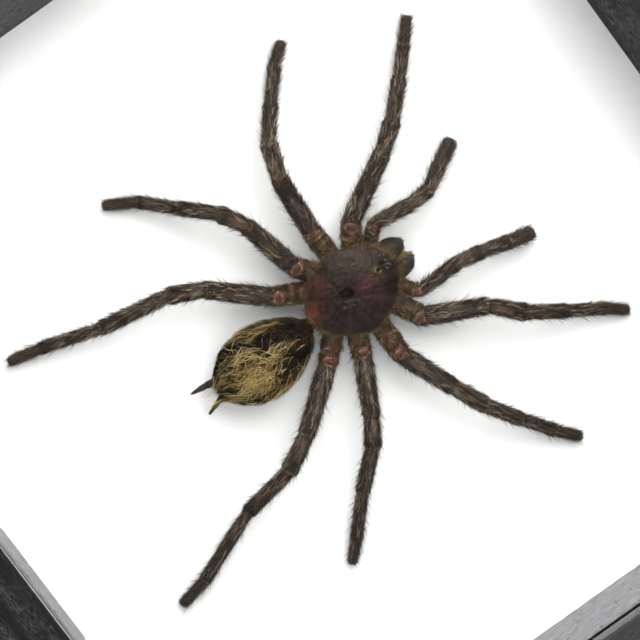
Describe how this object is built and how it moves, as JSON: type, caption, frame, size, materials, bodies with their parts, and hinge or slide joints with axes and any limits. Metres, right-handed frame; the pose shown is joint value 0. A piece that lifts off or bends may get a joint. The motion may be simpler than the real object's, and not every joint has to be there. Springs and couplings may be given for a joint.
{
  "type": "framed tarantula specimen",
  "caption": "Dried tarantula spread on a white board in a deep black wooden shadow box with a glass front; rests on its back or bottom edge, or hangs by a plate on the back.",
  "frame": {"origin": "middle of the back, level with the rear edges of the four rails that the box rests on", "axes": "+Z out through the glass, +Y the way the head points, towards the rail that is on top when it hangs, +X to the right as seen from the front"},
  "size_m": [0.256, 0.234, 0.039],
  "materials": {
    "frame_wood": "black stained open-grained wood, satin",
    "spacer_paint": "pale grey paint over wood, matt",
    "glass": "clear float glass",
    "board": "white faced board, matt",
    "hardboard": "raw brown hardboard",
    "spring_steel": "bare spring steel",
    "plated_steel": "zinc plated pressed steel",
    "rivet": "plain aluminium",
    "glue": "clear glue, set",
    "carapace": "dried cuticle with short flattened hair",
    "abdomen_fur": "black cuticle with long tangled tan hair",
    "leg_fur": "dark brown cuticle with short pale hair",
    "spinneret": "dark brown ringed cuticle"
  },
  "bodies": {
    "root": {"rail_top": "frame_wood", "rail_left": "frame_wood", "rail_bottom": "frame_wood", "rail_right": "frame_wood", "spacer_top": "spacer_paint", "spacer_left": "spacer_paint", "spacer_bottom": "spacer_paint", "spacer_right": "spacer_paint", "glass_pane": "glass", "mount_board": "board", "back_panel": "hardboard", "flex_tab_top_a": "spring_steel", "flex_tab_top_b": "spring_steel", "flex_tab_left_a": "spring_steel", "flex_tab_left_b": "spring_steel", "flex_tab_bottom_a": "spring_steel", "flex_tab_bottom_b": "spring_steel", "flex_tab_right_a": "spring_steel", "flex_tab_right_b": "spring_steel", "hanger_plate": "plated_steel", "hanger_rivet_left": "rivet", "hanger_rivet_right": "rivet", "cephalothorax": "carapace", "abdomen": "abdomen_fur", "chelicera_left": "leg_fur", "chelicera_right": "leg_fur", "leg_left_1": "leg_fur", "leg_left_2": "leg_fur", "leg_left_3": "leg_fur", "leg_left_4": "leg_fur", "leg_right_1": "leg_fur", "leg_right_2": "leg_fur", "leg_right_3": "leg_fur", "leg_right_4": "leg_fur", "pedipalp_left": "leg_fur", "pedipalp_right": "leg_fur", "spinneret_left": "spinneret", "spinneret_right": "spinneret", "glue_dab_front": "glue", "glue_dab_rear": "glue"}
  },
  "joints": []
}
